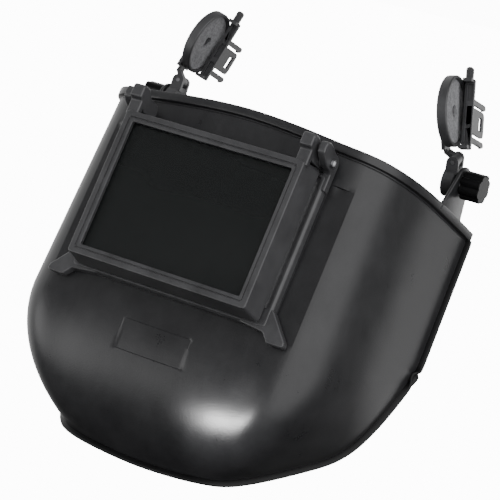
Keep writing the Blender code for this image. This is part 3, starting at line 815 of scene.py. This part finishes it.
def build_lip(edge):
    """The rolled lip: one closed body swept down the rear edges and round the lower rim."""
    half = [vert.co.copy() for vert in edge]
    outs = [vert.normal.copy() for vert in edge]
    outs[0] = outward(1.0)
    outs[-1].x = 0
    across = Vector((-1, 1, 1))
    points = half + [point * across for point in reversed(half[:-1])]
    normals = outs + [out * across for out in reversed(outs[:-1])]
    places, outs = even_path(points, normals, LIP_SPACING)
    shape = bmesh.new()
    rings = []
    for i, (place, out) in enumerate(zip(places, outs)):
        tangent = (places[min(i + 1, len(places) - 1)] - places[max(i - 1, 0)]).normalized()
        square = (out - tangent * out.dot(tangent)).normalized()
        onwards = tangent.cross(square)
        rings.append([shape.verts.new(place + square * n + onwards * d) for n, d in LIP_SECTION])
    for first, second in zip(rings, rings[1:]):
        for i in range(len(first)):
            j = (i + 1) % len(first)
            shape.faces.new((first[i], first[j], second[j], second[i]))
    shape.faces.new(rings[0])
    shape.faces.new(rings[-1])
    # The lip gets the darker copy of the shell's plastic, which is painted shade.
    lip = new_piece("shell_lip", to_mesh(shape), "lip_painted_shade_plastic")
    settle(lip, ROUNDED_SHARP_ANGLE)
    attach(lip, "shell_assembly")


def ear_outline():
    outline = [
        (PIVOT_Y + EAR_REACH, EAR_FOOT_Z),
        (PIVOT_Y + EAR_REACH - EAR_SHOULDER, EAR_SHOULDER_Z),
    ]
    outline += arc((PIVOT_Y, PIVOT_Z), EAR_RADIUS, 5, 175, 28)
    return outline + [
        (PIVOT_Y - EAR_REACH + EAR_SHOULDER, EAR_SHOULDER_Z),
        (PIVOT_Y - EAR_REACH, EAR_FOOT_Z),
    ]


def build_shell():
    shape, edge = shell_surface()
    build_lip(edge)
    shell = new_piece("shell_moulding", to_mesh(shape), "shell_plastic")
    mirror = shell.modifiers.new("Mirror", "MIRROR")
    mirror.merge_threshold = MIRROR_MERGE
    solidify = shell.modifiers.new("Solidify", "SOLIDIFY")
    solidify.thickness = SHELL_WALL * MM
    solidify.offset = -1.0
    solidify.use_even_offset = True
    solidify.thickness_clamp = 1.0
    settle(shell)
    half_x, half_z = SLEEVE_HALF_X + WINDOW_CLEARANCE, SLEEVE_HALF_Z + WINDOW_CLEARANCE
    outline = rounded_rectangle(half_x, half_z, WINDOW_CUT_RADIUS)
    cutter = slab(outline, "y", WINDOW_CUT_FRONT, WINDOW_CUT_BACK)
    cutter = new_piece("cutter", cutter, "shell_plastic")
    cut = shell.modifiers.new("Window", "BOOLEAN")
    cut.object = cutter
    settle(shell, SHELL_SHARP_ANGLE)
    bpy.data.objects.remove(cutter)
    pieces = [shell]
    for side in SIDES.values():
        low, high = sorted((side * EAR_IN, side * EAR_OUT))
        ear = new_piece("ear", slab(ear_outline(), "x", low, high), "shell_plastic")
        bevel(ear, 0.7)
        pieces.append(settle(ear))
    shell = join("shell_moulding_with_ears", "shell_plastic", pieces)
    shell.data.set_sharp_from_angle(angle=math.radians(SHELL_SHARP_ANGLE))
    mount(shell, "shell_assembly", "shell_plastic", "shell")


# ---------------------------------------------------------------- window


def lug_outline():
    """Side view of a hinge lug: it rises from the base's corner and reaches forwards to the pin."""
    outline = [(32.4, 44), (32.4, 62)]
    outline += arc((25.5, 63.5), 7.0, 0, 75, 10)
    outline += [(17, 72.5), (9, 74.5), (4, 73), (2.6, 69), (3.4, 65)]
    outline += [(7, 62.4), (12, 60.4), (16, 58.6), (22, 58.2)]
    return outline + [(25.2, 56), (25.2, 44)]


def wing_outline(side):
    """Front view of the strut at a lower corner of the base."""
    points = [(78, -44), (82, -46), (97.4, -63.6), (98.2, -66.6), (96.6, -68.2)]
    points += [(85, -68.4), (79.5, -62), (60, -60), (60, -50)]
    return [(side * x, z) for x, z in points]


def base_section(inset, y, radius):
    """A ring section of the base's flange, set in from its outline."""
    half_z = (BASE_TOP - BASE_BOTTOM) / 2
    centre = (BASE_TOP + BASE_BOTTOM) / 2
    return (BASE_HALF_X - inset, half_z - inset, centre, radius, y)


def build_base():
    flange = [
        base_section(0.0, BASE_BACK, 3.0),
        base_section(0.0, 27.4, 3.0),
        base_section(0.5, 26.2, 3.0),
        base_section(1.6, BASE_FRONT, 2.6),
        base_section(3.2, BASE_FRONT, 2.2),
        base_section(3.8, 27.0, 2.0),
        base_section(6.4, 27.0, 2.0),
        base_section(6.9, 26.0, 2.0),
        (SEAT_HALF_X + 5, SEAT_HALF_Z + 4, 0, 3.0, 26.0),
        (SEAT_HALF_X + 4, SEAT_HALF_Z + 3, 0, 3.0, 27.2),
        (SEAT_HALF_X, SEAT_HALF_Z, 0, 3.0, 27.2),
        (SEAT_HALF_X, SEAT_HALF_Z, 0, 3.0, PLATE_SEAT),
        (SLEEVE_HALF_X - SLEEVE_WALL, SLEEVE_HALF_Z - SLEEVE_WALL, 0, 2.0, PLATE_SEAT),
        (SLEEVE_HALF_X - SLEEVE_WALL, SLEEVE_HALF_Z - SLEEVE_WALL, 0, 2.0, SLEEVE_BACK),
        (SLEEVE_HALF_X, SLEEVE_HALF_Z, 0, 3.0, SLEEVE_BACK),
        (SLEEVE_HALF_X, SLEEVE_HALF_Z, 0, 3.0, BASE_BACK),
    ]
    body = new_piece("flange", ring_body(flange), "frame_plastic")
    bevel(body, 0.3, 2)
    pieces = [settle(body)]
    for side in SIDES.values():
        low, high = sorted((side * LUG_IN, side * LUG_OUT))
        lug = new_piece("lug", slab(lug_outline(), "x", low, high), "frame_plastic")
        bevel(lug, 1.1, 4)
        pieces.append(settle(lug, ROUNDED_SHARP_ANGLE))
        wing = slab(wing_outline(side), "y", BASE_FRONT + 0.4, BASE_BACK + 0.2)
        wing = new_piece("wing", wing, "frame_plastic")
        bevel(wing, 1.2, 4)
        pieces.append(settle(wing, ROUNDED_SHARP_ANGLE))
    for x, z in SCREW_PLACES:
        outline = arc((x, z), SCREW_POST_RADIUS, 0, 345, 23)
        post = slab(outline, "y", BASE_BACK - 1, SCREW_POST_BACK)
        post = new_piece("post", post, "frame_plastic")
        bevel(post, 0.3, 2, POST_BEVEL_ANGLE)
        pieces.append(settle(post))
    base = join("window_base_moulding", "frame_plastic", pieces)
    level_faces(base)
    mount(base, "shell_assembly", "frame_plastic", "window_base")


def arm_outline():
    """Side view of a lift-frame arm: a block over the front corner, and the barrel behind it."""
    outline = [(1.0, 52), (1.0, 63.8), (-3.0, 65.2), (-3.0, 73.2)]
    outline += [(-1.4, 75), (6.2, 75), (8.6, 73), (12, 70)]
    outline += arc((HINGE_Y, HINGE_Z), 6.0, 100, -90, 20)
    return outline + [(9, 57.5), (6.5, 60), (6.5, 52)]


def frame_section(inset, y, radius):
    return (FRAME_HALF_X - inset, FRAME_HALF_Z - inset, 0, radius, y)


def build_lift_frame():
    """The lift frame: stepped and grooved front border, sloping sides and a shadow gap at the back."""
    sections = [
        frame_section(3.9, 0.0, 2.2),
        frame_section(6.9, 0.0, 1.8),
        frame_section(7.1, 1.3, 1.7),
        frame_section(7.9, 1.3, 1.5),
        frame_section(8.1, 0.5, 1.5),
        frame_section(10.2, 0.7, 1.0),
        frame_section(10.5, 1.0, 1.0),
        frame_section(10.5, 4.0, 1.0),
        frame_section(6.7, 4.0, 1.5),
        frame_section(6.7, 15.0, 1.5),
        frame_section(4.6, 15.0, 1.5),
        frame_section(4.6, FRAME_DEPTH, 1.5),
        frame_section(2.5, FRAME_DEPTH, 2.2),
        frame_section(2.5, 22.6, 2.2),
        frame_section(0.5, 22.6, 3.2),
        frame_section(0.3, 22.2, 3.3),
        frame_section(2.9, 0.9, 2.6),
        frame_section(3.2, 0.25, 2.5),
    ]
    body = new_piece("border", ring_body(sections), "frame_plastic")
    bevel(body, 0.22, 2)
    pieces = [settle(body)]
    for side in SIDES.values():
        low, high = sorted((side * ARM_IN, side * ARM_OUT))
        arm = new_piece("arm", slab(arm_outline(), "x", low, high), "frame_plastic")
        bevel(arm, 1.2, 4)
        pieces.append(settle(arm, ROUNDED_SHARP_ANGLE))
    lift = join("lift_frame_moulding", "frame_plastic", pieces)
    level_faces(lift)
    mount(lift, "lift_front", "frame_plastic", "lift_frame")


# ---------------------------------------------------------------- carried nodes


REFINED = {
    "shell_assembly": {"inner_retaining_frame": 0.4},
    "lift_front": {"lift_retainer": 0.4},
}
ADAPTER_REFINED = {
    "arm_base": {"lower_arm": 0.6},
    "arm_strap": {"upper_arm": 0.5},
    "cup_clip": {"cup": 0.5, "slot_clip": 0.35},
    "clamp_knob": {"knob": 0.7},
}


def carry_nodes():
    """Gives every CAD node its material, and rounds the edges of those that show."""
    for body, nodes in REFINED.items():
        for node, width in nodes.items():
            refined(node, body, width)
    for side in SIDES:
        for body, nodes in ADAPTER_REFINED.items():
            for node, width in nodes.items():
                refined(f"{node}_{side}", f"{body}_{side}", width)
    for part in frame["record"]["subparts"]:
        node = frame["nodes"][part["node"]]
        node.data.materials.clear()
        node.data.materials.append(MATERIALS[part["material_slot"]])


# ---------------------------------------------------------------- studio


def build_camera():
    """A long lens to the wearer's left of the window, a little below its centre line, and tilted."""
    sin_a, cos_a = math.sin(CAMERA_AZIMUTH), math.cos(CAMERA_AZIMUTH)
    sin_e, cos_e = math.sin(CAMERA_ELEVATION), math.cos(CAMERA_ELEVATION)
    level_right = Vector((cos_a, sin_a, 0))
    level_up = Vector((-sin_a * sin_e, cos_a * sin_e, cos_e))
    back = Vector((sin_a * cos_e, -cos_a * cos_e, sin_e))
    up = math.cos(CAMERA_ROLL) * level_up - math.sin(CAMERA_ROLL) * level_right
    right = math.sin(CAMERA_ROLL) * level_up + math.cos(CAMERA_ROLL) * level_right
    place = right * AIM_RIGHT + up * AIM_UP + back * CAMERA_DISTANCE
    lean = Matrix.Rotation(-LEAN_BACK, 4, "X")
    origin = Matrix.Translation(lean @ Vector((0, -PIVOT_Y, -PIVOT_Z)) * MM)
    turn = Matrix((right, up, back)).transposed().to_4x4()
    data = bpy.data.cameras.new("camera")
    data.lens = CAMERA_LENS_MM
    data.sensor_width = CAMERA_SENSOR_MM
    camera = bpy.data.objects.new("camera", data)
    camera.matrix_world = origin @ lean @ Matrix.Translation(place) @ turn
    bpy.context.scene.collection.objects.link(camera)
    bpy.context.scene.camera = camera


def add_area_light(name, place, target, size, power):
    data = bpy.data.lights.new(name, "AREA")
    data.shape = "DISK"
    data.spread = LAMP_SPREAD
    data.size = size
    data.energy = power
    light = bpy.data.objects.new(name, data)
    light.visible_camera = False
    light.location = place
    light.rotation_euler = (Vector(target) - Vector(place)).to_track_quat("-Z", "Y").to_euler()
    bpy.context.scene.collection.objects.link(light)


def add_window(tree, place, level, direction, edge, middle, strength):
    """The world's level with one more soft bright patch."""
    towards = tree.nodes.new("ShaderNodeVectorMath")
    towards.operation = "DOT_PRODUCT"
    towards.inputs[1].default_value = direction
    patch = tree.nodes.new("ShaderNodeMapRange")
    patch.interpolation_type = "SMOOTHSTEP"
    set_range(patch, edge, middle, 0.0, strength)
    total = tree.nodes.new("ShaderNodeMath")
    tree.links.new(place.outputs["Generated"], towards.inputs[0])
    tree.links.new(towards.outputs["Value"], patch.inputs["Value"])
    tree.links.new(level, total.inputs[0])
    tree.links.new(patch.outputs["Result"], total.inputs[1])
    return total.outputs["Value"]


def build_world():
    """A studio bright behind the object and dim in front, with soft windows, and darker from below."""
    world = bpy.data.worlds.new("studio")
    world.use_nodes = True
    tree = world.node_tree
    background = tree.nodes["Background"]
    place = tree.nodes.new("ShaderNodeTexCoord")
    towards = tree.nodes.new("ShaderNodeVectorMath")
    towards.operation = "DOT_PRODUCT"
    towards.inputs[1].default_value = BACKDROP_DIRECTION
    depth = tree.nodes.new("ShaderNodeMapRange")
    depth.inputs["From Min"].default_value = -1.0
    levels = tree.nodes.new("ShaderNodeValToRGB")
    set_stops(levels.color_ramp, [(position, (level,) * 3) for position, level in WORLD_LEVELS])
    tree.links.new(place.outputs["Generated"], towards.inputs[0])
    tree.links.new(towards.outputs["Value"], depth.inputs["Value"])
    tree.links.new(depth.outputs["Result"], levels.inputs["Fac"])
    level = levels.outputs["Color"]
    for direction, edge, middle, strength in WINDOWS:
        level = add_window(tree, place, level, direction, edge, middle, strength)
    height = tree.nodes.new("ShaderNodeSeparateXYZ")
    under = tree.nodes.new("ShaderNodeMapRange")
    under.interpolation_type = "SMOOTHSTEP"
    set_range(under, UNDER_FROM, UNDER_TO, UNDER_SHARE * WORLD_STRENGTH, WORLD_STRENGTH)
    shaded = tree.nodes.new("ShaderNodeMath")
    shaded.operation = "MULTIPLY"
    tree.links.new(place.outputs["Generated"], height.inputs["Vector"])
    tree.links.new(height.outputs["Z"], under.inputs["Value"])
    tree.links.new(level, shaded.inputs[0])
    tree.links.new(under.outputs["Result"], shaded.inputs[1])
    rays = tree.nodes.new("ShaderNodeLightPath")
    strength = tree.nodes.new("ShaderNodeMix")
    strength.inputs["B"].default_value = PALE
    tree.links.new(rays.outputs["Is Camera Ray"], strength.inputs["Factor"])
    tree.links.new(shaded.outputs["Value"], strength.inputs["A"])
    tree.links.new(strength.outputs["Result"], background.inputs["Strength"])
    background.inputs["Color"].default_value = (1.0, 1.0, 1.0, 1.0)
    bpy.context.scene.world = world


def build_floor():
    shape = bmesh.new()
    bmesh.ops.create_circle(shape, cap_ends=True, segments=64, radius=FLOOR_RADIUS)
    mesh = bpy.data.meshes.new("floor")
    shape.to_mesh(mesh)
    shape.free()
    floor = bpy.data.objects.new("floor", mesh)
    floor.location.z = CAD_BOX[0].z - FLOOR_DROP
    shading = Shading("floor_paper")
    shading.value("Base Color", (0.9, 0.9, 0.9, 1.0))
    shading.value("Roughness", 0.95)
    shading.value("Specular IOR Level", 0.0)
    shading.value("Emission Color", (1.0, 1.0, 1.0, 1.0))
    shading.value("Emission Strength", PALE)
    mesh.materials.append(shading.material)
    floor.visible_diffuse = False
    floor.visible_glossy = False
    floor.visible_transmission = False
    bpy.context.scene.collection.objects.link(floor)


def build_studio():
    build_world()
    build_floor()
    for name, place, target, size, power in LIGHTS:
        add_area_light(name, place, target, size, power)


build_camera()
build_studio()
build_shell()
build_base()
build_lift_frame()
carry_nodes()
